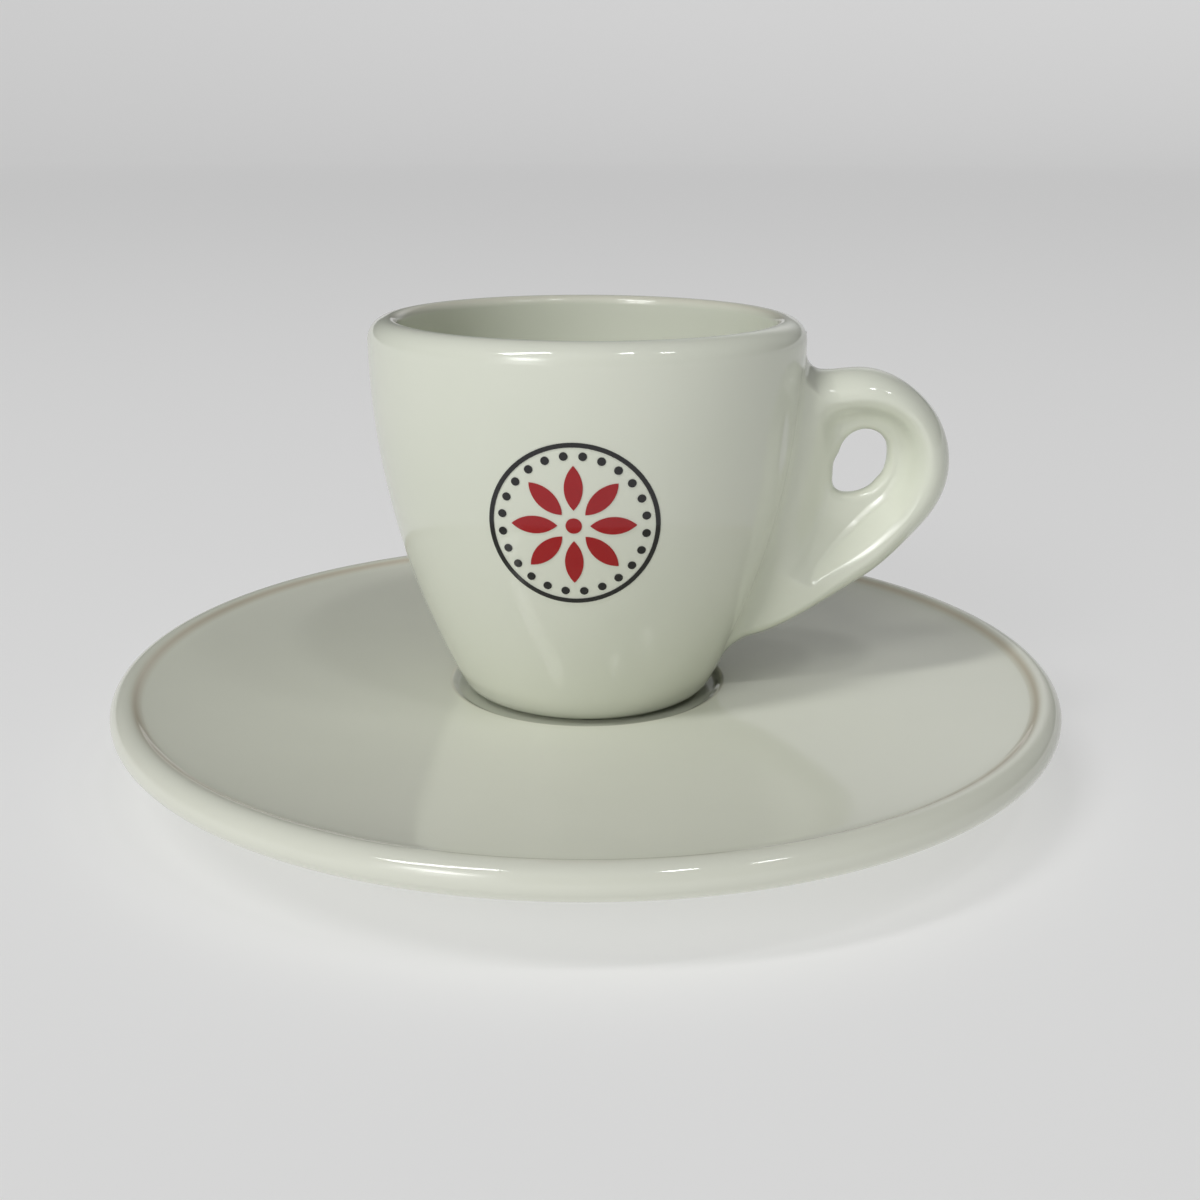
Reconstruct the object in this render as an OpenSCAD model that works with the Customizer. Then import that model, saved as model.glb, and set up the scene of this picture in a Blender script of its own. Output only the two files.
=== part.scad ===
// Espresso cup standing in the well of its saucer, in millimetres.
// The origin is the centre of the circle that the saucer stands on, +Z up.
// The handle points to +X and the fired print faces -Y.

/* [Saucer] */
// Outer diameter of the saucer
saucer_d = 125; // [115:1:140]
// Height of the rim's crest above the table
saucer_h = 13; // [12.5:0.5:16]
// Thickness of the rolled rim
rim_t = 4.2; // [3.6:0.1:4.6]
// Thickness of the plate under the well
plate_t = 4.3; // [3.6:0.1:5]
// Depth of the plate's middle below the rim's crest
dish_depth = 2.45; // [2.2:0.05:3.4]
// Outer diameter of the foot ring
saucer_foot_d = 71; // [62:1:80]
// Width of the foot ring where it stands
saucer_foot_w = 2.6; // [2:0.1:4]
// Taper of each flank of the foot ring
saucer_foot_taper = 1; // [0.6:0.1:1.6]

/* [Well] */
// Diameter of the well's edge that holds the cup
well_d = 36.9; // [36:0.1:38]
// Depth of the well's floor below its edge
well_depth = 0.65; // [0.6:0.05:1]
// Width of the slope between the well's floor and its edge
well_slope = 1; // [0.8:0.1:1.3]

/* [Cup] */
// Outer diameter of the cup at the lip
cup_d = 55.9; // [52:0.1:60]
// Height of the cup from its foot to the lip
cup_h = 49.5; // [46:0.05:56]
// Thickness of the wall
wall_t = 3.9; // [3.5:0.1:4.4]
// Radius of the outer half of the lip
lip_r = 2.7; // [2:0.1:3]
// Radius of the wall's side view, from the lip down to the heel
wall_arc_r = 98; // [90:1:120]
// Radius of the heel
heel_r = 3.5; // [2.5:0.1:4.5]
// Thickness of the floor of the cup above the foot recess
floor_t = 4.6; // [3.5:0.1:6]
// Radius between the cup's floor and its wall, inside
bowl_r = 9; // [6:0.5:11]
// Depth of the recess under the cup
foot_recess = 1.2; // [0.8:0.1:1.8]
// Width of the ring that the cup stands on
foot_w = 2.8; // [2:0.1:3.6]

/* [Handle] */
// Distance of the handle's outer edge from the cup's axis
handle_reach = 46.9; // [44:0.5:52]
// Height of the handle's top edge above the cup's foot
handle_top = 43.25; // [42:0.05:45]
// Height of the tail's end above the cup's foot
handle_tail = 5.95; // [5:0.05:8]
// Thickness of the handle's rim
handle_t = 10.6; // [8:0.1:12]
// Thickness of the web round the finger hole
web_t = 4.2; // [3.6:0.1:5]
// Width of the finger hole
hole_w = 6.4; // [6:0.1:7]
// Height of the finger hole
hole_h = 8.5; // [8:0.1:9]
// How far the rounding of the handle's outer edge reaches inwards
edge_round = 4.2; // [3:0.1:4.4]
// How far the rounding of the finger hole's edge reaches outwards
hole_round = 1.3; // [0.8:0.1:1.5]
// How much each side swells out where the handle meets the wall
root_flare = 1.3; // [0.5:0.1:1.6]
// Length of that swelling, measured from the wall
root_length = 3; // [2:0.1:3.6]

/* [Print] */
// Diameter of the medallion printed on the wall
print_d = 20; // [14:0.5:24]
// Height of its centre above the cup's foot
print_z = 28.45; // [26:0.05:32]
// Width of the black ring
print_ring_w = 0.55; // [0.4:0.05:0.9]
// Diameter of each black dot
print_dot_d = 1; // [0.7:0.1:1.2]
// Number of dots
print_dots = 24; // [12:2:28]
// Length of each red petal
petal_l = 5.4; // [4:0.1:5.6]
// Number of petals
petals = 8; // [6:1:9]
// Diameter of the red centre
print_eye_d = 1.9; // [1.5:0.1:2.2]
// Thickness of the fired ink
ink_t = 0.08; // [0.05:0.01:0.15]

/* [Hidden] */
$fn = 96;
glaze = [0.90, 0.91, 0.86];
cut = 1; // overrun of every cutting shape

// Saucer
rim_r = rim_t / 2;
rim_c = saucer_d / 2 - rim_r;
rim_z = saucer_h - rim_r;
well_r = well_d / 2;
edge_z = saucer_h - dish_depth;
floor_z = edge_z - well_depth;
under_z = floor_z - plate_t;
// upper face of the plate, from the well's edge (0, 0) to the rim's crest (1, 1)
upper_shares = [[0, 0], [0.2, 0.02], [0.4, 0.08], [0.6, 0.2], [0.74, 0.32], [0.84, 0.45], [0.92, 0.6], [0.955, 0.7]];
// lower face, from the foot ring (0, 0) to the underside of the rim (1, 1)
lower_shares = [[0.94, 0.88], [0.8, 0.6], [0.6, 0.34], [0.4, 0.17], [0.2, 0.06], [0, 0]];
// where the rim's round begins and ends, in degrees from straight outwards
rim_from = 125;
rim_to = -105;
rim_steps = 24;
foot_steps = 5;
foot_ring_r = saucer_foot_d / 2;
foot_edge_share = 0.25; // rounding of the foot ring's corners, as a share of its width

// Cup, measured above the plane it stands on
cup_r = cup_d / 2;
cup_z = floor_z;
belly_h = cup_h - lip_r;
lip_in_r = wall_t - lip_r;
crest_r = cup_r - lip_r;
arc_x = cup_r - wall_arc_r;
cup_floor_h = foot_recess + floor_t;
bowl_h = cup_floor_h + bowl_r;
in_arc_r = wall_arc_r - wall_t;
bowl_x = arc_x + sqrt(pow(in_arc_r - bowl_r, 2) - pow(belly_h - bowl_h, 2));
// directions in which the bowl's and the heel's rounding meet the wall
bowl_a = asin((bowl_h - belly_h) / (in_arc_r - bowl_r));
heel_x = arc_x + sqrt(pow(wall_arc_r - heel_r, 2) - pow(belly_h - heel_r, 2));
heel_a = asin((heel_r - belly_h) / (wall_arc_r - heel_r));
wall_steps = 20;
lip_steps = 8;
heel_steps = 6;
bowl_steps = 10;

// Handle: u runs from the root (0) out to the handle's reach (1), h above the cup's foot.
// v runs from the tail's end (0) up to the top edge (1).
root_in = 2.2; // how deep the blank's root reaches under the wall's surface before it is trimmed
stations = 64;
edge_steps = 4;
slope_steps = 6;
// outer edge, clockwise from the top of the root
edge_shares = [
    [0.00, 1.090], [0.101, 1.060], [0.116, 1.028], [0.150, 1.003], [0.205, 0.993], [0.27, 0.992],
    [0.36, 0.998], [0.48, 1.000], [0.61, 0.982], [0.74, 0.942], [0.855, 0.884], [0.938, 0.817],
    [0.988, 0.738], [1.000, 0.656], [0.975, 0.578], [0.920, 0.505], [0.838, 0.435], [0.740, 0.359],
    [0.642, 0.291], [0.530, 0.231], [0.410, 0.164], [0.300, 0.103], [0.205, 0.060], [0.130, 0.038],
    [0.00, 0.015], [0.00, 0.080], [0.00, 0.160], [0.00, 0.270], [0.00, 0.410], [0.00, 0.570],
    [0.00, 0.730], [0.00, 0.900]
];
hole_u_share = 0.498;
hole_v_share = 0.670;
hole_tilt = 24; // degrees that the hole leans towards the cup at its foot
// border of the dished face: direction from the hole, distance as a share of the handle's height
dish_shares = [
    [0, 0.175], [45, 0.196], [90, 0.180], [120, 0.220], [150, 0.177], [180, 0.167], [207, 0.215],
    [226, 0.320], [237, 0.470], [245, 0.524], [251, 0.484], [256, 0.392], [265, 0.301],
    [283, 0.215], [312, 0.170], [338, 0.168], [360, 0.175]
];
dish_blur = 8; // degrees over which the border is averaged
slope_half = 2.4; // half the width of the slope between rim and dish
slope_round = 0.22; // share of the slope that is rounded at each end
slope_max = 1.1; // steepest average rise of the slope
// reach of the outer rounding by direction from the hole, as a share of edge_round
round_shares = [[0, 0.88], [60, 1], [200, 1], [240, 0.75], [285, 0.66], [330, 0.74], [360, 0.88]];
// the dish's floor rises to the rim along this direction, between these distances from the hole
tip_a = 245;
tip_from = 5;
tip_to = 19.5;
step_share = 0.1; // least step between two rows of points, as a share of slope_half
rim_half = handle_t / 2;
web_half = web_t / 2;
v_h = handle_top - handle_tail;

// Outer radius of the cup's wall at height h above its foot
function wall_x(h) = arc_x + sqrt(pow(wall_arc_r, 2) - pow(belly_h - min(h, belly_h), 2));

// Wall's side view, or the surface beside it, as an arc of radius r
function wall_path(r) = arc([arc_x, belly_h], r, heel_a, 0, wall_steps);

// Points of an arc about c
function arc(c, r, from, to, n) = [for (k = [0:n]) let (f = from + (to - from) * k / n) c + r * [cos(f), sin(f)]];

function reversed(p) = [for (k = [len(p) - 1:-1:0]) p[k]];

// Smooth open curve through points p, n steps between neighbours
function spline(p, a, b, c, d, t) = 0.5 * (2 * p[b] + (p[c] - p[a]) * t
    + (2 * p[a] - 5 * p[b] + 4 * p[c] - p[d]) * t * t
    + (3 * p[b] - p[a] - 3 * p[c] + p[d]) * t * t * t);
function smooth_path(p, n) = [
    for (i = [0:len(p) - 2]) for (k = [0:n - 1])
        spline(p, max(i - 1, 0), i, i + 1, min(i + 2, len(p) - 1), k / n),
    p[len(p) - 1]
];

// Section of the saucer: well, dish, rolled rim, underside and foot ring
module saucer_section() {
    span = rim_c - well_r;
    under_span = rim_c - foot_ring_r;
    upper = smooth_path([for (s = upper_shares) [well_r + span * s[0], edge_z + dish_depth * s[1]]], 4);
    lower = smooth_path([for (s = lower_shares)
        [foot_ring_r + under_span * s[0], under_z + (rim_z - rim_r - under_z) * s[1]]], 4);
    round_r = saucer_foot_w * foot_edge_share;
    stand_out = foot_ring_r - saucer_foot_taper;
    stand_in = stand_out - saucer_foot_w;
    polygon(concat(
        [[0, under_z], [0, floor_z], [well_r - well_slope, floor_z]],
        upper,
        arc([rim_c, rim_z], rim_r, rim_from, rim_to, rim_steps),
        lower,
        arc([stand_out - round_r, round_r], round_r, 0, -90, foot_steps),
        arc([stand_in + round_r, round_r], round_r, -90, -180, foot_steps),
        [[stand_in - saucer_foot_taper, under_z]]
    ));
}

module saucer() {
    color(glaze) rotate_extrude() saucer_section();
}

// Side view of the cup's outside, from the foot up to the crest of the lip
outer_path = concat(
    arc([heel_x, heel_r], heel_r, -90, heel_a, heel_steps),
    wall_path(wall_arc_r),
    arc([crest_r, belly_h], lip_r, 0, 90, lip_steps));

// Side view of its inside, from the crest of the lip down to the floor
inner_path = concat(
    arc([crest_r, cup_h - lip_in_r], lip_in_r, 90, 180, lip_steps),
    arc([arc_x, belly_h], in_arc_r, 0, bowl_a, wall_steps),
    arc([bowl_x, bowl_h], bowl_r, bowl_a, -90, bowl_steps));

module cup_outside() {
    polygon(concat([[0, 0]], outer_path, [[0, cup_h]]));
}

module cup_body() {
    foot_in = heel_x - foot_w;
    color(glaze) translate([0, 0, cup_z]) rotate_extrude() polygon(concat(
        [[0, foot_recess], [foot_in, foot_recess], [foot_in, 0]],
        outer_path,
        inner_path,
        [[0, cup_floor_h]]));
}

// Place of a point of the handle's side view
function side(u, v) = let (h = handle_tail + v_h * v, x0 = wall_x(h) - root_in)
    [x0 + (handle_reach - x0) * u, h];
hole_c = side(hole_u_share, hole_v_share);

// Outer edge of the handle at station i, and how far out it lies
edge_n = len(edge_shares);
function edge_uv(i) = let (q = i * edge_n / stations, k = floor(q))
    spline(edge_shares, (k + edge_n - 1) % edge_n, k % edge_n, (k + 1) % edge_n, (k + 2) % edge_n, q - k);

// Edge of the finger hole in direction a, a slightly square ellipse
function hole_reach(a) = let (t = a + hole_tilt, p = 2.4,
    x = abs(cos(t)) / (hole_w / 2), z = abs(sin(t)) / (hole_h / 2))
    pow(pow(x, p) + pow(z, p), -1 / p);
function dish_at(a) = lookup((a + 720) % 360, dish_shares) * v_h;
function dish_reach(a) = (dish_at(a - dish_blur) + 2 * dish_at(a) + dish_at(a + dish_blur)) / 4;
function ease(t) = t * t * (3 - 2 * t);
function slope_share(f, b = slope_round) = f < b ? f * f / (2 * b * (1 - b))
    : f > 1 - b ? 1 - pow(1 - f, 2) / (2 * b * (1 - b))
    : (f - b / 2) / (1 - b);

// How far the dish's floor has risen, 0 to 1, at distance s from the hole in direction a
function risen(s, a) = min(max((s * cos(a - tip_a) - tip_from) / (tip_to - tip_from), 0), 1);

// Cosine of the angle between the border's normal and direction a
function border_cos(a) = let (r = dish_reach(a), turn = (dish_reach(a + 3) - dish_reach(a - 3)) / (6 * PI / 180))
    r / norm([r, turn]);

// Half thickness added beside the wall at distance d from it
function flare(d) = root_flare * pow(1 - min(max(d, 0), root_length) / root_length, 2);

// One ring of the handle, from its outer edge over the front face to the hole and back
function ring(i) = let (
    uv = edge_uv(i),
    o = side(max(uv[0], 0), uv[1]),
    d = o - hole_c,
    far = norm(d),
    a = atan2(d[1], d[0]),
    dir = d / far,
    near = hole_reach(a),
    wallness = ease(1 - min(max(uv[0], 0) / 0.12, 1)),
    edge_d = edge_round * lookup((a + 720) % 360, round_shares),
    round_d = min(edge_d + (root_in - edge_d) * wallness, (far - near) * 0.45),
    crest = far - round_d,
    lo = near + hole_round,
    least = step_share * slope_half,
    mid = min(max(dish_reach(a), lo + 3 * least), crest - 3 * least),
    half = slope_half * max(1 - risen(mid, a), 0.08) / border_cos(a),
    s1 = min(mid + half, crest - least),
    s0 = max(mid - half, lo + least),
    deepest = max(web_half, rim_half - slope_max * (s1 - s0) / (1 - risen(mid, a) * 0.9)),
    foot = deepest + (rim_half - deepest) * risen(s0, a),
    web = deepest + (rim_half - deepest) * risen(lo, a),
    front = concat(
        [for (k = [0:edge_steps]) let (f = 90 * k / edge_steps)
            [far - round_d * (1 - cos(f)), rim_half * sin(f)]],
        [for (k = [0:slope_steps]) let (f = k / slope_steps)
            [s1 + (s0 - s1) * f, rim_half + (foot - rim_half) * slope_share(f)]],
        [for (k = [0:edge_steps]) let (f = 90 - 90 * k / edge_steps)
            [near + hole_round * sin(f), web * sin(f)]])
    )
    [for (q = concat(front, [for (k = [len(front) - 2:-1:1]) [front[k][0], -front[k][1]]]))
        let (p = hole_c + dir * q[0], w = 1 + flare(p[0] - wall_x(p[1])) / rim_half)
        [p[0], -q[1] * w, p[1]]];

// The handle before its root is trimmed to the wall
module handle_blank() {
    rings = [for (i = [0:stations - 1]) ring(i)];
    m = len(rings[0]);
    points = [for (r = rings) each r];
    faces = [
        for (i = [0:stations - 1]) for (j = [0:m - 1])
            let (a = i * m + j, b = i * m + (j + 1) % m,
                c = ((i + 1) % stations) * m + (j + 1) % m, d = ((i + 1) % stations) * m + j)
            each [[a, b, c], [a, c, d]]
    ];
    polyhedron(points = points, faces = faces, convexity = 6);
}

module handle() {
    color(glaze) translate([0, 0, cup_z]) difference() {
        handle_blank();
        rotate_extrude() cup_outside();
    }
}

// Thin layer on the wall, cut out by a flat pattern that is pushed through it along Y
module ink() {
    translate([0, 0, cup_z]) intersection() {
        rotate_extrude() polygon(concat(wall_path(wall_arc_r), reversed(wall_path(wall_arc_r + ink_t))));
        translate([0, 0, print_z]) rotate([90, 0, 0]) linear_extrude(cup_d) children();
    }
}

// Petal between two arcs, pointing outwards
module petal() {
    lens_r = petal_l * 0.72;
    inset = sqrt(pow(lens_r, 2) - pow(petal_l / 2, 2));
    intersection() {
        translate([petal_l / 2, inset]) circle(r = lens_r);
        translate([petal_l / 2, -inset]) circle(r = lens_r);
    }
}

module print_red() {
    color([0.69, 0.05, 0.09]) ink() {
        circle(d = print_eye_d);
        for (k = [0:petals - 1]) rotate(90 + 360 * k / petals) translate([print_eye_d, 0]) petal();
    }
}

module print_black() {
    color([0.06, 0.06, 0.06]) ink() {
        difference() {
            circle(d = print_d);
            circle(d = print_d - 2 * print_ring_w);
        }
        for (k = [0:print_dots - 1]) rotate(360 * (k + 0.5) / print_dots)
            translate([print_d / 2 - print_ring_w - print_dot_d, 0]) circle(d = print_dot_d);
    }
}

saucer();
cup_body();
handle();
print_red();
print_black();
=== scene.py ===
import math

import bpy
import bmesh
import numpy as np
from mathutils import Matrix, Vector


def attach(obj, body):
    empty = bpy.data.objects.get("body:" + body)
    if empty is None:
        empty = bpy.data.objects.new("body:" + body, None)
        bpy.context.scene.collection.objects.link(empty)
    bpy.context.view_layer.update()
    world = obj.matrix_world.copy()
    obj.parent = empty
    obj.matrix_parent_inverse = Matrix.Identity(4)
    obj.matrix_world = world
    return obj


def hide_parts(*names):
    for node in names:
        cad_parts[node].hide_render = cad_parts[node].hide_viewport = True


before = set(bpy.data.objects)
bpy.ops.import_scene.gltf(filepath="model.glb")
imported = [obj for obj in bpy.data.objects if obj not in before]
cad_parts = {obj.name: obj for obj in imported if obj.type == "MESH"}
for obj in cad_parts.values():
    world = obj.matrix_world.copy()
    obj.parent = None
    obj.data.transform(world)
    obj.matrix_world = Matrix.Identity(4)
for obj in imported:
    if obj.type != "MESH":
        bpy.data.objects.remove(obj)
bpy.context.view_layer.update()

MM = 0.001

# ---------------------------------------------------------------- sizes, in millimetres
# Saucer: rolled rim, well, dish and foot ring
SAUCER_R, SAUCER_H, RIM_R = 62.5, 13.0, 2.1
WELL_R, WELL_SLOPE, DISH_DEPTH = 18.45, 1.0, 2.45
EDGE_Z, FLOOR_Z, UNDER_Z = 10.55, 9.9, 5.6
FOOT_R, FOOT_W, FOOT_TAPER = 35.5, 2.6, 1.0
RIM_C, RIM_Z = SAUCER_R - RIM_R, SAUCER_H - RIM_R
RING_OUT, RING_IN = FOOT_R - FOOT_TAPER, FOOT_R - FOOT_TAPER - FOOT_W
FLANK_END = 0.65
# Points of the dish and of the underside, as shares of their span and their rise
DISH_SHARES = [(0, 0), (0.2, 0.02), (0.4, 0.08), (0.6, 0.2), (0.74, 0.32), (0.84, 0.45),
               (0.92, 0.6), (0.955, 0.7)]
UNDER_SHARES = [(0.94, 0.88), (0.8, 0.6), (0.6, 0.34), (0.4, 0.17), (0.2, 0.06), (0, 0)]
WELL_ROUND, EDGE_ROUND, FLANK_ROUND, RING_ROUND = 0.9, 1.2, 1.1, 0.75

# Cup: lip, wall, heel, recessed foot and bowl; its wall is an arc that is upright below the lip
CUP_R, CUP_H, WALL_T, LIP_R = 27.95, 49.5, 3.9, 2.7
ARC_R, HEEL_R, CUP_FOOT_W, FOOT_RECESS = 98.0, 3.5, 2.8, 1.2
BELLY_H, LIP_IN_R = CUP_H - LIP_R, WALL_T - LIP_R
CREST_R, ARC_X = CUP_R - LIP_R, CUP_R - ARC_R
CUP_FLOOR, BOWL_R = 5.8, 9.0
BOWL_H, IN_ARC_R = CUP_FLOOR + BOWL_R, ARC_R - WALL_T
BOWL_X = ARC_X + math.sqrt((IN_ARC_R - BOWL_R) ** 2 - (BELLY_H - BOWL_H) ** 2)
BOWL_A = math.degrees(math.asin((BOWL_H - BELLY_H) / (IN_ARC_R - BOWL_R)))
HEEL_X = ARC_X + math.sqrt((ARC_R - HEEL_R) ** 2 - (BELLY_H - HEEL_R) ** 2)
HEEL_A = math.degrees(math.asin((HEEL_R - BELLY_H) / (ARC_R - HEEL_R)))
FOOT_IN = HEEL_X - CUP_FOOT_W
RECESS_ROUND, STAND_ROUND = 0.45, 0.4
CUP_Z = FLOOR_Z

# Where the glaze differs: bare standing rings and thin lines at edges; and painted shade in the
# well round the cup's foot
SAUCER_BARE_H, CUP_BARE_H, CUP_BARE_OVER, BARE_FADE = 0.55, 0.4, 0.2, 0.6
RIM_LINE_R, RIM_LINE_W, RIM_LINE_Z = 59.2, 0.55, 12.2
WELL_LINE_W, WELL_LINE_Z, WELL_LINE = 0.25, 10, 0.4
LIP_LINE_IN, LIP_LINE_W, LIP_LINE_DEEP, LIP_LINE = 0.6, 0.5, 1, 0.6
# Painted shade in the well: radii where it starts, is full, starts to fade and ends, and the
# height above which it lies
WELL_SHADE_FROM, WELL_SHADE_FULL, WELL_SHADE_LAST, WELL_SHADE_END, WELL_SHADE_Z = 12.5, 15.5, 17.9, 18.5, 9

TURNS = 384
POLE = 1e-6


# ---------------------------------------------------------------- curves
def arc(c, r, start, end, n):
    """Points of an arc in n steps, from start to end in degrees."""
    a = np.radians(np.linspace(start, end, n + 1))
    return [(c[0] + r * math.cos(t), c[1] + r * math.sin(t)) for t in a]


def spline(a, b, c, d, t):
    """Catmull-Rom curve between b and c."""
    return 0.5 * (2 * b + (c - a) * t + (2 * a - 5 * b + 4 * c - d) * t ** 2
                  + (3 * b - a - 3 * c + d) * t ** 3)


def catmull(p, n):
    """A smooth open curve through the points, with n steps between neighbours."""
    out = []
    for i in range(len(p) - 1):
        a, b = np.array(p[max(i - 1, 0)]), np.array(p[i])
        c, d = np.array(p[i + 1]), np.array(p[min(i + 2, len(p) - 1)])
        out += [tuple(spline(a, b, c, d, k / n)) for k in range(n)]
    out.append(tuple(p[-1]))
    return out


def corner(before, at, after, r, n=8):
    """Points of a rounding of radius r at a corner of a profile."""
    at = np.array(at, float)
    u, v = np.array(before) - at, np.array(after) - at
    u, v = u / np.linalg.norm(u), v / np.linalg.norm(v)
    half = math.acos(np.clip(u @ v, -1, 1)) / 2
    reach = r / math.tan(half)
    mid = (u + v) / np.linalg.norm(u + v)
    c = at + mid * r / math.sin(half)
    a, b = at + u * reach - c, at + v * reach - c
    turn = math.atan2(a[0] * b[1] - a[1] * b[0], a @ b)
    start = math.atan2(a[1], a[0])
    angles = [start + turn * k / n for k in range(n + 1)]
    return [(c[0] + r * math.cos(t), c[1] + r * math.sin(t)) for t in angles]


def dense(p, longest):
    """The same polyline with long straight stretches divided."""
    out = [p[0]]
    for a, b in zip(p, p[1:]):
        n = max(1, math.ceil(math.dist(a, b) / longest))
        out += [(a[0] + (b[0] - a[0]) * k / n, a[1] + (b[1] - a[1]) * k / n)
                for k in range(1, n + 1)]
    return out


def clean(p, least=0.004):
    """The same polyline without points that nearly coincide."""
    out = [p[0]]
    for q in p[1:]:
        if math.dist(q, out[-1]) > least:
            out.append(q)
    return out


def step(x, a, b):
    """0 below a, 1 above b, smooth between."""
    t = np.clip((x - a) / (b - a), 0, 1)
    return t * t * (3 - 2 * t)


# ---------------------------------------------------------------- meshes
def add_mesh(name, points, faces, raise_z, marks):
    """An object from points in millimetres, shaded smooth, with an attribute for each mark."""
    v = np.array(points, float)
    v[:, 2] += raise_z
    mesh = bpy.data.meshes.new(name)
    mesh.from_pydata((v * MM).tolist(), [], faces)
    bm = bmesh.new()
    bm.from_mesh(mesh)
    bmesh.ops.recalc_face_normals(bm, faces=bm.faces)
    bm.to_mesh(mesh)
    bm.free()
    for key, values in marks.items():
        layer = mesh.attributes.new(key, "FLOAT", "POINT")
        layer.data.foreach_set("value", np.asarray(values, np.float32))
    mesh.polygons.foreach_set("use_smooth", [True] * len(mesh.polygons))
    mesh.update()
    ob = bpy.data.objects.new(name, mesh)
    bpy.context.scene.collection.objects.link(ob)
    return ob


def lathe(name, profile, turns, raise_z=0.0, marks=None, longest=1.6):
    """A surface of revolution. marks are attributes worked out from (r, z) of each point."""
    p = np.array(clean(dense(profile, longest)))
    ang = np.arange(turns) * 2 * math.pi / turns
    verts, rings, values = [], [], []
    for r, z in p:
        rings.append((len(verts), r < POLE))
        if r < POLE:
            verts.append((0, 0, z))
            values.append((r, z))
        else:
            verts += [(r * math.cos(t), r * math.sin(t), z) for t in ang]
            values += [(r, z)] * turns
    faces = []
    for (a, pole_a), (b, pole_b) in zip(rings, rings[1:]):
        for i in range(turns):
            j = (i + 1) % turns
            if pole_a:
                faces.append((a, b + j, b + i))
            elif pole_b:
                faces.append((a + i, a + j, b))
            else:
                faces.append((a + i, a + j, b + j, b + i))
    r, z = np.array(values).T
    return add_mesh(name, verts, faces, raise_z, {k: f(r, z) for k, f in (marks or {}).items()})


def bare_ring(r, z, inner, outer, top):
    """The unglazed standing ring, between two radii and below top."""
    low = 1 - step(z, top * 0.6, top)
    return low * step(r, inner - BARE_FADE, inner) * (1 - step(r, outer, outer + BARE_FADE))


def line(r, at, width):
    """A soft line round a turned piece."""
    return np.exp(-(((r - at) / width) ** 2))


# ---------------------------------------------------------------- saucer
def saucer_profile():
    span, under = RIM_C - WELL_R, RIM_C - FOOT_R
    upper = catmull([(WELL_R + span * x, EDGE_Z + DISH_DEPTH * z) for x, z in DISH_SHARES], 10)
    lower = catmull([(FOOT_R + under * x, UNDER_Z + (RIM_Z - RIM_R - UNDER_Z) * z)
                     for x, z in UNDER_SHARES], 8)
    rim = arc((RIM_C, RIM_Z), RIM_R, 125, -105, 48)
    well_foot, well_edge = (WELL_R - WELL_SLOPE, FLOOR_Z), (WELL_R, EDGE_Z)
    flank_out, flank_in = (FOOT_R, UNDER_Z), (RING_IN - FOOT_TAPER, UNDER_Z)
    return ([(0, FLOOR_Z)]
            + corner((0, FLOOR_Z), well_foot, well_edge, WELL_ROUND)
            + corner(well_foot, well_edge, upper[6], EDGE_ROUND, 14)
            + upper[7:] + rim + lower[:-2]
            + corner(lower[-3], flank_out, (RING_OUT, FLANK_END), FLANK_ROUND)
            + corner(flank_out, (RING_OUT, 0), (RING_IN, 0), RING_ROUND)
            + corner((RING_OUT, 0), (RING_IN, 0), flank_in, RING_ROUND)
            + corner((RING_IN, 0), flank_in, (0, UNDER_Z), FLANK_ROUND)
            + [(0, UNDER_Z)])


saucer = lathe("saucer_glazed", saucer_profile(), TURNS, marks={
    "bare": lambda r, z: bare_ring(r, z, RING_IN, RING_OUT, SAUCER_BARE_H),
    "edge": lambda r, z: (line(r, RIM_LINE_R, RIM_LINE_W) * (z > RIM_LINE_Z)
                          + WELL_LINE * line(r, WELL_R, WELL_LINE_W) * (z > WELL_LINE_Z)),
    # painted shade: a darker ring in the well, where the cup's foot shades it
    "painted_well_shade": lambda r, z: (step(r, WELL_SHADE_FROM, WELL_SHADE_FULL) * (1 - step(r, WELL_SHADE_LAST, WELL_SHADE_END))
                          * (z > WELL_SHADE_Z)),
})
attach(saucer, "saucer")
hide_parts("saucer")


# ---------------------------------------------------------------- cup
def cup_profile():
    return ([(0, FOOT_RECESS)]
            + corner((0, FOOT_RECESS), (FOOT_IN, FOOT_RECESS), (FOOT_IN, 0), RECESS_ROUND)
            + corner((FOOT_IN, FOOT_RECESS), (FOOT_IN, 0), (HEEL_X, 0), STAND_ROUND)
            + arc((HEEL_X, HEEL_R), HEEL_R, -90, HEEL_A, 24)
            + arc((ARC_X, BELLY_H), ARC_R, HEEL_A, 0, 60)
            + arc((CREST_R, BELLY_H), LIP_R, 0, 90, 32)
            + arc((CREST_R, CUP_H - LIP_IN_R), LIP_IN_R, 90, 180, 24)
            + arc((ARC_X, BELLY_H), IN_ARC_R, 0, BOWL_A, 48)
            + arc((BOWL_X, BOWL_H), BOWL_R, BOWL_A, -90, 32)
            + [(0, CUP_FLOOR)])


cup = lathe("cup_glazed", cup_profile(), TURNS, raise_z=CUP_Z, marks={
    "bare": lambda r, z: bare_ring(r, z, FOOT_IN, HEEL_X + CUP_BARE_OVER, CUP_BARE_H),
    "edge": lambda r, z: (LIP_LINE * line(r, CREST_R - LIP_LINE_IN, LIP_LINE_W)
                          * (z > CUP_H - LIP_LINE_DEEP)),
})
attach(cup, "cup")
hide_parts("cup_body")

# ---------------------------------------------------------------- handle
# x is measured from the cup's axis and h from the cup's foot. The handle is built in rows that
# run round it, from its outer edge over the dished face to the finger hole and back behind.
REACH, TOP, TAIL, HANDLE_T, WEB_T = 46.9, 43.25, 5.95, 10.6, 3.0
ROOT_IN, FILLET, HOLE_ROUND = 2.2, 2.1, 1.2
STATIONS, EDGE_ROWS, FACE_ROWS, HOLE_ROWS = 480, 21, 64, 15
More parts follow.
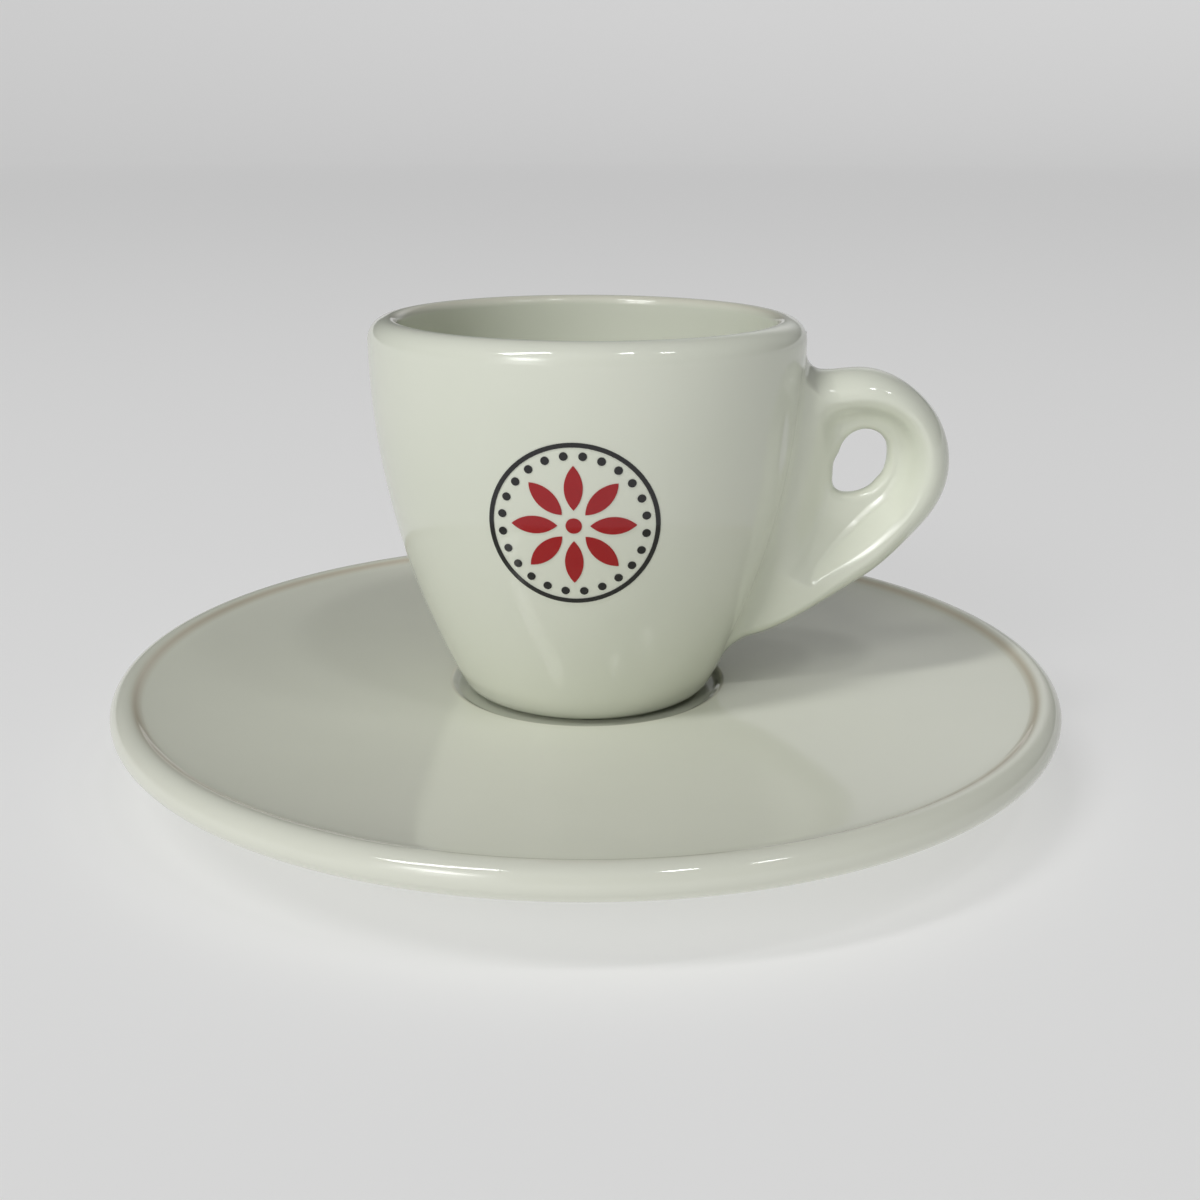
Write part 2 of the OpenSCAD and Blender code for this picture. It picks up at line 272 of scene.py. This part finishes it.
# Side view, as shares: along from a little inside the wall to the reach, up from tail to top
EDGE = [(0.00, 1.005), (0.101, 1.000), (0.125, 0.998), (0.150, 0.996), (0.205, 0.992),
        (0.27, 0.992), (0.36, 0.998), (0.48, 1.000), (0.61, 0.982), (0.74, 0.942), (0.855, 0.884),
        (0.938, 0.817), (0.988, 0.738), (1.000, 0.656), (0.975, 0.578), (0.920, 0.505),
        (0.838, 0.435), (0.740, 0.359), (0.642, 0.291), (0.530, 0.231), (0.410, 0.164),
        (0.300, 0.103), (0.205, 0.060), (0.130, 0.038), (0.00, 0.015), (0.00, 0.080),
        (0.00, 0.160), (0.00, 0.270), (0.00, 0.410), (0.00, 0.570), (0.00, 0.730), (0.00, 0.900)]
EDGE_SOFT = 0.28
HOLE_AT = (0.498, 0.670)
# The hole's edge: distance from its centre, by direction
HOLE = [(0, 3.1), (24, 3.5), (44, 4.2), (66, 4.5), (90, 4.4), (112, 4.0), (155, 3.1), (204, 3.8),
        (222, 4.7), (235, 4.7), (252, 4.1), (277, 3.5), (314, 2.9), (360, 3.1)]
# How far the rounding of the outer edge reaches inwards, by direction from the hole
ROUND = [(0, 3.0), (60, 3.6), (90, 4.0), (200, 4.0), (240, 3.2), (285, 2.7), (330, 2.8),
         (360, 3.0)]
HOLE_SOFT, ROUND_SOFT, FINE = 6.0, 8.0, 0.25
# Near the wall the rounding goes over to ROOT_IN; nowhere does it take more than this share
WALL_SHARE, ROUND_SHARE = 0.12, 0.45
# Foot and top of the dish's slope in the side view, (x, h)
SLOPE_FOOT = [(14, 5), (27, 13), (29.3, 15.4), (29.8, 16.6), (30.7, 18.3), (33.4, 21.6),
              (36.9, 25.5), (39.1, 27.6), (40.2, 31.4), (38.9, 35.2), (35.5, 36.6), (31, 35.9),
              (14, 34)]
SLOPE_TOP = [(14, 4.5), (27.2, 13.1), (29.5, 15.3), (30.6, 16.5), (34.3, 18.6), (37.3, 20.8),
             (40.5, 24.1), (42.9, 28), (43.7, 31), (43.6, 34), (42.4, 36.7), (40.4, 38.6),
             (37.9, 39.7), (35, 40), (31, 39.8), (14, 39)]
SLOPE_OVER, SLOPE_LEAST = 0.35, 0.05
# Steepness across the dish's slope, from its foot to its top: crisp in the direction CRISP_A
# from the hole, soft from CRISP_END degrees off it
CRISP = [(0, 0), (0.06, 0.54), (0.19, 0.66), (0.28, 1.35), (0.72, 1.35), (0.81, 0.66),
         (0.94, 0.54), (1, 0)]
SOFT = [(0, 0), (0.46, 1), (0.54, 1), (1, 0)]
CRISP_A, CRISP_FULL, CRISP_END = 256, 50, 95
# The dish runs out towards the handle's tip and beside the wall
TIP_A, TIP_FROM, TIP_TO, TIP_BEND = 246, 7.0, 16.7, 1.5
WALL_FROM, WALL_TO = 0.6, 5.6
# The hidden end is pressed into a thin layer just under the cup's surface
SINK_RATE, SINK_MOST, SINK_LEAST, SINK_GROW = 0.06, 0.12, 0.004, 1.2


def wall_x(h):
    """Radius of the cup's wall at a height."""
    return ARC_X + np.sqrt(ARC_R ** 2 - (BELLY_H - np.minimum(h, BELLY_H)) ** 2)


def side(u, v):
    """Place in the side view of a point that is given in shares."""
    h = TAIL + (TOP - TAIL) * v
    x0 = wall_x(h) - ROOT_IN
    return np.stack([x0 + (REACH - x0) * u, h], -1)


def blur(values, sigma):
    """Periodic smoothing along the first axis."""
    n = len(values)
    k = np.arange(n)
    k = np.minimum(k, n - k)
    w = np.exp(-0.5 * (k / sigma) ** 2)
    f = np.fft.rfft(w / w.sum())
    shape = (-1,) + (1,) * (values.ndim - 1)
    return np.fft.irfft(np.fft.rfft(values, axis=0) * f.reshape(shape), n, axis=0)


def by_direction(table, ang, soft):
    """Values of a table at the given directions, smoothed over soft degrees."""
    fine = np.arange(0, 360, FINE)
    v = blur(np.interp(fine, *zip(*table)), soft / FINE)
    return np.interp(ang, np.append(fine, 360), np.append(v, v[0]))


def inside(points, x, h):
    """Distance inside an open curve that closes far to the left, negative outside it."""
    c = np.array(catmull(points, 6))
    a, d = c[:-1], c[1:] - c[:-1]
    p = np.stack([x.ravel(), h.ravel()], -1)[:, None]
    t = np.clip(((p - a) * d).sum(-1) / (d * d).sum(-1), 0, 1)
    off = p - (a + t[..., None] * d)
    near = (off ** 2).sum(-1).argmin(1)
    best = off[np.arange(len(near)), near]
    left = d[near, 0] * best[:, 1] - d[near, 1] * best[:, 0]
    return (np.sign(left) * np.linalg.norm(best, axis=1)).reshape(x.shape)


def rise(slopes, t):
    """Integral, scaled to 1, of a slope that is given at a few points."""
    x = np.linspace(0, 1, 401)
    g = np.interp(x, *zip(*slopes))
    y = np.concatenate([[0], np.cumsum(g[1:] + g[:-1])])
    return np.interp(t, x, y / y[-1])


def quarter(t):
    """Height, 0 to 1, of a quarter circle at a share of its width."""
    return np.sqrt(1 - (1 - np.clip(t, 0, 1)) ** 2)


def dish_depth(x, h, ang, hole):
    """How deep the dished face lies below the rim, 0 to 1."""
    top, foot = inside(SLOPE_TOP, x, h), inside(SLOPE_FOOT, x, h)
    width = np.maximum(top - foot + 2 * SLOPE_OVER, SLOPE_LEAST)
    f = np.clip((top + SLOPE_OVER) / width, 0, 1)
    f = np.where(foot > SLOPE_OVER, 1, np.where(top < -SLOPE_OVER, 0, f))
    away = np.abs((ang - CRISP_A + 180) % 360 - 180)
    crisp = rise(CRISP, f)
    f = crisp + (rise(SOFT, f) - crisp) * step(away, CRISP_FULL, CRISP_END)
    t = math.radians(TIP_A)
    s = (x - hole[0]) * math.cos(t) + (h - hole[1]) * math.sin(t)
    risen = np.clip((s - TIP_FROM) / (TIP_TO - TIP_FROM), 0, 1) ** TIP_BEND
    return f * (1 - risen) * step(x - wall_x(h), WALL_FROM, WALL_TO)


def handle_points(hole):
    """The handle's surface as a grid: stations round the outline, rows across it."""
    e = np.array(EDGE)
    q = np.arange(STATIONS) * len(e) / STATIONS
    k = np.floor(q).astype(int)
    a, b, c, d = (e[(k + s) % len(e)] for s in (-1, 0, 1, 2))
    uv = blur(spline(a, b, c, d, (q - k)[:, None]), STATIONS / len(e) * EDGE_SOFT)
    away = side(np.maximum(uv[:, 0], 0), uv[:, 1]) - hole
    far = np.linalg.norm(away, axis=1)
    ang = np.degrees(np.arctan2(away[:, 1], away[:, 0])) % 360
    out = away / far[:, None]
    near = by_direction(HOLE, ang, HOLE_SOFT)
    edge_d = by_direction(ROUND, ang, ROUND_SOFT)
    wallness = step(1 - np.clip(uv[:, 0] / WALL_SHARE, 0, 1), 0, 1)
    round_d = np.minimum(edge_d + (ROOT_IN - edge_d) * wallness, (far - near) * ROUND_SHARE)
    crest, low = far - round_d, near + HOLE_ROUND
    rows = [far - round_d * (1 - math.cos(f)) for f in np.radians(np.linspace(0, 90, EDGE_ROWS))]
    rows += [crest + (low - crest) * f for f in np.linspace(0, 1, FACE_ROWS)[1:-1]]
    rows += [near + HOLE_ROUND * math.sin(f) for f in np.radians(np.linspace(90, 0, HOLE_ROWS))]
    r = np.stack(rows, 1)
    x, h = (hole[i] + out[:, i, None] * r for i in (0, 1))
    depth = dish_depth(x, h, np.broadcast_to(ang[:, None], r.shape), hole)
    half = HANDLE_T / 2 - (HANDLE_T - WEB_T) / 2 * depth
    half = half * quarter((far[:, None] - r) / round_d[:, None])
    half = half * quarter((r - near[:, None]) / HOLE_ROUND)
    front = np.stack([x, -half, h], -1)
    back = front[:, -2:0:-1] * np.array([1, -1, 1])
    return np.concatenate([front, back], 1)


def wall_gap(p):
    """Distance of each point from the cup's wall, and the wall's normal there."""
    r = np.hypot(p[..., 0], p[..., 1])
    dx, dz = r - ARC_X, np.minimum(p[..., 2], BELLY_H) - BELLY_H
    reach = np.hypot(dx, dz)
    nr, nz = dx / reach, dz / reach
    return reach - ARC_R, np.stack([nr * p[..., 0] / r, nr * p[..., 1] / r, nz], -1)


def grid_normals(p):
    """Normals of a grid of points that closes in both directions."""
    a = np.roll(p, -1, 0) - np.roll(p, 1, 0)
    b = np.roll(p, -1, 1) - np.roll(p, 1, 1)
    n = np.cross(a, b)
    length = np.linalg.norm(n, axis=-1, keepdims=True)
    return n / np.maximum(length, 1e-9)


def add_fillet(p, hole):
    """The glaze fillet round the root: beside the wall each point moves along the wall."""
    n = grid_normals(p)
    if (n * (p - np.array([hole[0], 0, hole[1]]))).sum() < 0:
        n = -n
    d, w = wall_gap(p)
    slide = n - (n * w).sum(-1, keepdims=True) * w
    length = np.linalg.norm(slide, axis=-1, keepdims=True)
    slide = slide / np.maximum(length, 1e-6)
    near = np.clip(d, 0, FILLET)
    grow = FILLET - np.sqrt(np.maximum(FILLET ** 2 - (FILLET - near) ** 2, 0))
    grow = np.where(d < 0, FILLET - SINK_GROW * d, grow)
    grow = np.where(d >= FILLET, 0, grow) * np.clip(length[..., 0] * 3, 0, 1)
    q = p + slide * grow[..., None]
    d2, w2 = wall_gap(q)
    want = np.where(d < 0, np.maximum(d * SINK_RATE, -SINK_MOST) - SINK_LEAST, d)
    return np.where((grow > 0)[..., None], q + w2 * (want - d2)[..., None], q)


hole_at = side(*HOLE_AT)
grid = add_fillet(handle_points(hole_at), hole_at)
rings, across = grid.shape[:2]
handle_faces = []
for i in range(rings):
    a, b = i * across, (i + 1) % rings * across
    for j in range(across):
        k = (j + 1) % across
        handle_faces.append((a + j, b + j, b + k, a + k))
none = np.zeros(rings * across)
handle = add_mesh("handle_glazed", grid.reshape(-1, 3), handle_faces, CUP_Z,
                  {"bare": none, "edge": none})
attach(handle, "cup")
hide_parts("handle")

# ---------------------------------------------------------------- materials
BLACK, WHITE = (0, 0, 0), (1, 1, 1)
GLAZE_IOR = 1.52
# Colour and strength of the painted shade in the well round the cup's foot
WELL_SHADE_TONE, WELL_SHADE_STRENGTH = (0.36, 0.38, 0.31), 0.6
SPECK_TONE, BISCUIT, BISCUIT_DARK = (0.25, 0.20, 0.15), (0.70, 0.66, 0.58), (0.58, 0.54, 0.47)
GLOSS_LEAST, GLOSS_MOST, BARE_ROUGH = (0.045,) * 3, (0.085,) * 3, (0.7,) * 3
WAVE_HEIGHT, GRAIN_HEIGHT = 0.0001, 0.00005


def node(tree, kind, **sockets):
    """A node with its sockets set; a name's underscores stand for blanks."""
    n = tree.nodes.new(kind)
    for key, value in sockets.items():
        n.inputs[key.replace("_", " ")].default_value = value
    return n


def link(tree, a, b):
    tree.links.new(a, b)


def feed(tree, value, socket):
    """Links an output to a socket, or sets a constant on it."""
    if hasattr(value, "is_linked"):
        link(tree, value, socket)
    elif value is not None:
        socket.default_value = value


def ramp(tree, source, stops):
    n = tree.nodes.new("ShaderNodeValToRGB")
    for element, (position, tone) in zip(n.color_ramp.elements, stops):
        element.position, element.color = position, (*tone, 1)
    link(tree, source, n.inputs["Fac"])
    return n.outputs["Color"]


def mix(tree, fac, a, b, kind="MIX"):
    n = tree.nodes.new("ShaderNodeMix")
    n.data_type, n.blend_type = "RGBA", kind
    for value, socket in ((fac, n.inputs[0]), (a, n.inputs[6]), (b, n.inputs[7])):
        feed(tree, (*value, 1) if isinstance(value, tuple) else value, socket)
    return n.outputs[2]


def maths(tree, kind, a, b=None):
    n = tree.nodes.new("ShaderNodeMath")
    n.operation = kind
    feed(tree, a, n.inputs[0])
    feed(tree, b, n.inputs[1])
    return n.outputs[0]


def mark(tree, name):
    """One of the mesh's own attributes."""
    n = tree.nodes.new("ShaderNodeAttribute")
    n.attribute_name = name
    return n.outputs["Fac"]


def noise(tree, place, **sockets):
    n = node(tree, "ShaderNodeTexNoise", **sockets)
    link(tree, place, n.inputs["Vector"])
    return n.outputs[0]


def surface(name, **sockets):
    """A material of one Principled shader: the material, its tree and the shader."""
    m = bpy.data.materials.new(name)
    m.use_nodes = True
    t = m.node_tree
    t.nodes.clear()
    out = node(t, "ShaderNodeOutputMaterial")
    bsdf = node(t, "ShaderNodeBsdfPrincipled", **sockets)
    link(t, bsdf.outputs[0], out.inputs[0])
    return m, t, bsdf


def porcelain(name, tone, shade, warm):
    m, t, bsdf = surface(name, Roughness=0.06, IOR=GLAZE_IOR)
    place = node(t, "ShaderNodeTexCoord").outputs["Object"]
    cloud = noise(t, place, Scale=45.0, Detail=3.0, Roughness=0.5)
    body = mix(t, ramp(t, cloud, [(0.35, BLACK), (0.65, WHITE)]), tone, shade)
    # Thin warm lines where glaze runs off an edge, and painted shade in the well's corner round
    # the cup's foot
    body = mix(t, mark(t, "edge"), body, warm)
    body = mix(t, maths(t, "MULTIPLY", mark(t, "painted_well_shade"), WELL_SHADE_STRENGTH), body, WELL_SHADE_TONE)
    # Rare pinholes and iron specks, under 0.4 mm wide
    cells = node(t, "ShaderNodeTexVoronoi", Scale=140.0)
    link(t, place, cells.inputs["Vector"])
    spot = ramp(t, cells.outputs["Distance"], [(0.0, WHITE), (0.035, BLACK)])
    rare = ramp(t, cells.outputs["Color"], [(0.90, BLACK), (0.92, WHITE)])
    body = mix(t, mix(t, 1.0, spot, rare, "MULTIPLY"), body, SPECK_TONE)
    bare = mark(t, "bare")
    grain = noise(t, place, Scale=2600.0, Detail=4.0)
    biscuit = mix(t, grain, BISCUIT, BISCUIT_DARK)
    link(t, mix(t, bare, body, biscuit), bsdf.inputs["Base Color"])
    sheen = noise(t, place, Scale=70.0, Detail=2.0)
    gloss = ramp(t, sheen, [(0.3, GLOSS_LEAST), (0.7, GLOSS_MOST)])
    link(t, mix(t, bare, gloss, BARE_ROUGH), bsdf.inputs["Roughness"])
    # The glaze's slight waviness, and the grain of the bare foot
    bump = node(t, "ShaderNodeBump", Strength=0.12, Distance=WAVE_HEIGHT)
    link(t, noise(t, place, Scale=160.0, Detail=1.0), bump.inputs["Height"])
    rough = node(t, "ShaderNodeBump", Distance=GRAIN_HEIGHT)
    link(t, bare, rough.inputs["Strength"])
    link(t, grain, rough.inputs["Height"])
    link(t, bump.outputs[0], rough.inputs["Normal"])
    link(t, rough.outputs[0], bsdf.inputs["Normal"])
    return m


def ink(name, tone, shade):
    m, t, bsdf = surface(name, Roughness=0.12, IOR=GLAZE_IOR)
    place = node(t, "ShaderNodeTexCoord").outputs["Object"]
    cloud = noise(t, place, Scale=400.0, Detail=3.0)
    link(t, mix(t, cloud, tone, shade), bsdf.inputs["Base Color"])
    return m


cup_glaze = porcelain("cup_glaze", (0.845, 0.870, 0.758), (0.825, 0.855, 0.738),
                      (0.70, 0.67, 0.55))
saucer_glaze = porcelain("saucer_glaze", (0.845, 0.861, 0.752), (0.83, 0.848, 0.736),
                         (0.66, 0.61, 0.49))
red_ink = ink("red_ink", (0.42, 0.006, 0.010), (0.38, 0.005, 0.009))
black_ink = ink("black_ink", (0.012, 0.012, 0.013), (0.018, 0.018, 0.018))

for ob, m in ((saucer, saucer_glaze), (cup, cup_glaze), (handle, cup_glaze)):
    ob.data.materials.append(m)
for name, m in (("print_red", red_ink), ("print_black", black_ink)):
    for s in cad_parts[name].material_slots:
        s.material = m

# ---------------------------------------------------------------- floor and light
TURN = math.radians(3.4)  # the part is turned by this much in the photograph's view
bpy.context.scene.view_settings.view_transform = "Standard"

# A pale floor that sweeps up gently at its far edge
FLOOR_FLAT, FLOOR_WIDE, SWEEP_R = 500, 4000, 900
sweep = arc((FLOOR_WIDE, SWEEP_R), SWEEP_R, -90, -26, 16)
floor = lathe("floor", [(0, 0), (FLOOR_FLAT, 0), (FLOOR_WIDE, 0)] + sweep, 128,
              longest=FLOOR_FLAT)
floor.data.materials.append(surface(
    "floor", Roughness=0.9, Base_Color=(0.4, 0.4, 0.4, 1), Specular_IOR_Level=0.1,
    Emission_Color=(1, 1, 1, 1), Emission_Strength=0.45)[0])


def towards(az, el):
    """Direction from the object, az to the right of the camera and el above the table."""
    a, e = math.radians(az) + TURN, math.radians(el)
    return Vector((math.sin(a) * math.cos(e), -math.cos(a) * math.cos(e), math.sin(e)))


# A dim room with soft patches of light: az and el, how narrow each is and how bright
PATCHES = [
    (-33, 9, 45, 2.8), (-34, 29, 130, 11.0), (-36, 26, 45, 0.5), (-30, 42, 45, 0.7),
    (-9, 58, 45, 0.4), (0, 88, 10, 0.14), (165, 18, 45, 0.78), (135, 18, 45, 0.2),
    (180, 55, 8, 0.15)]
world = bpy.data.worlds.new("studio")
world.use_nodes = True
bpy.context.scene.world = world
wt = world.node_tree
sky = node(wt, "ShaderNodeTexCoord").outputs["Generated"]
total = maths(wt, "ADD", 0.0, 0.0)
for az, el, narrow, bright in PATCHES:
    dot = wt.nodes.new("ShaderNodeVectorMath")
    dot.operation = "DOT_PRODUCT"
    link(wt, sky, dot.inputs[0])
    dot.inputs[1].default_value = towards(az, el)
    off = maths(wt, "SUBTRACT", dot.outputs["Value"], 1.0)
    glow = maths(wt, "EXPONENT", maths(wt, "MULTIPLY", off, float(narrow)))
    total = maths(wt, "ADD", total, maths(wt, "MULTIPLY", glow, bright))
link(wt, total, wt.nodes["Background"].inputs["Color"])

LAMP_AIM, LAMP_FAR = Vector((0, 0, 0.04)), 1.2


def strip_light(name, start, end, width, power):
    """A long soft light between two directions, facing the cup."""
    a, b = (LAMP_AIM + towards(*way) * LAMP_FAR for way in (start, end))
    data = bpy.data.lights.new(name, "AREA")
    data.shape, data.size, data.size_y = "RECTANGLE", (a - b).length, width
    data.energy = power
    at = (a + b) / 2
    z = (at - LAMP_AIM).normalized()
    x = b - a
    x = (x - z * x.dot(z)).normalized()
    y = z.cross(x)
    ob = bpy.data.objects.new(name, data)
    ob.matrix_world = Matrix([(x[i], y[i], z[i], at[i]) for i in range(3)] + [(0, 0, 0, 1)])
    bpy.context.scene.collection.objects.link(ob)


strip_light("key_strip", (-53, 45), (-33, 65), 0.14, 3.8)
strip_light("top_strip", (26, 62), (38, 62), 0.07, 0.9)
strip_light("side_strip", (52, 54), (62, 54), 0.07, 0.6)

# ---------------------------------------------------------------- camera
# The photograph's camera, found from its outlines; angles in degrees, the rest in metres
PITCH, YAW, ROLL = (math.radians(x) for x in (17.1513, 0.5104, 0.2385))
CAMERA_AT = (0.0, -0.195581, 0.081718)
LENS_MM, SENSOR_MM, CLIP = 45.478, 36.0, (0.01, 50.0)

fwd = Vector((math.sin(YAW) * math.cos(PITCH), math.cos(YAW) * math.cos(PITCH),
              -math.sin(PITCH)))
right = Vector((math.cos(YAW), -math.sin(YAW), 0))
up = right.cross(fwd)
rolled_right = right * math.cos(ROLL) + up * math.sin(ROLL)
rolled_up = up * math.cos(ROLL) - right * math.sin(ROLL)
pose = Matrix([(rolled_right[i], rolled_up[i], -fwd[i], CAMERA_AT[i]) for i in range(3)]
              + [(0, 0, 0, 1)])
cam_data = bpy.data.cameras.new("camera")
cam_data.lens, cam_data.sensor_width = LENS_MM, SENSOR_MM
cam_data.clip_start, cam_data.clip_end = CLIP
camera = bpy.data.objects.new("camera", cam_data)
bpy.context.scene.collection.objects.link(camera)
camera.matrix_world = Matrix.Rotation(TURN, 4, "Z") @ pose
bpy.context.scene.camera = camera
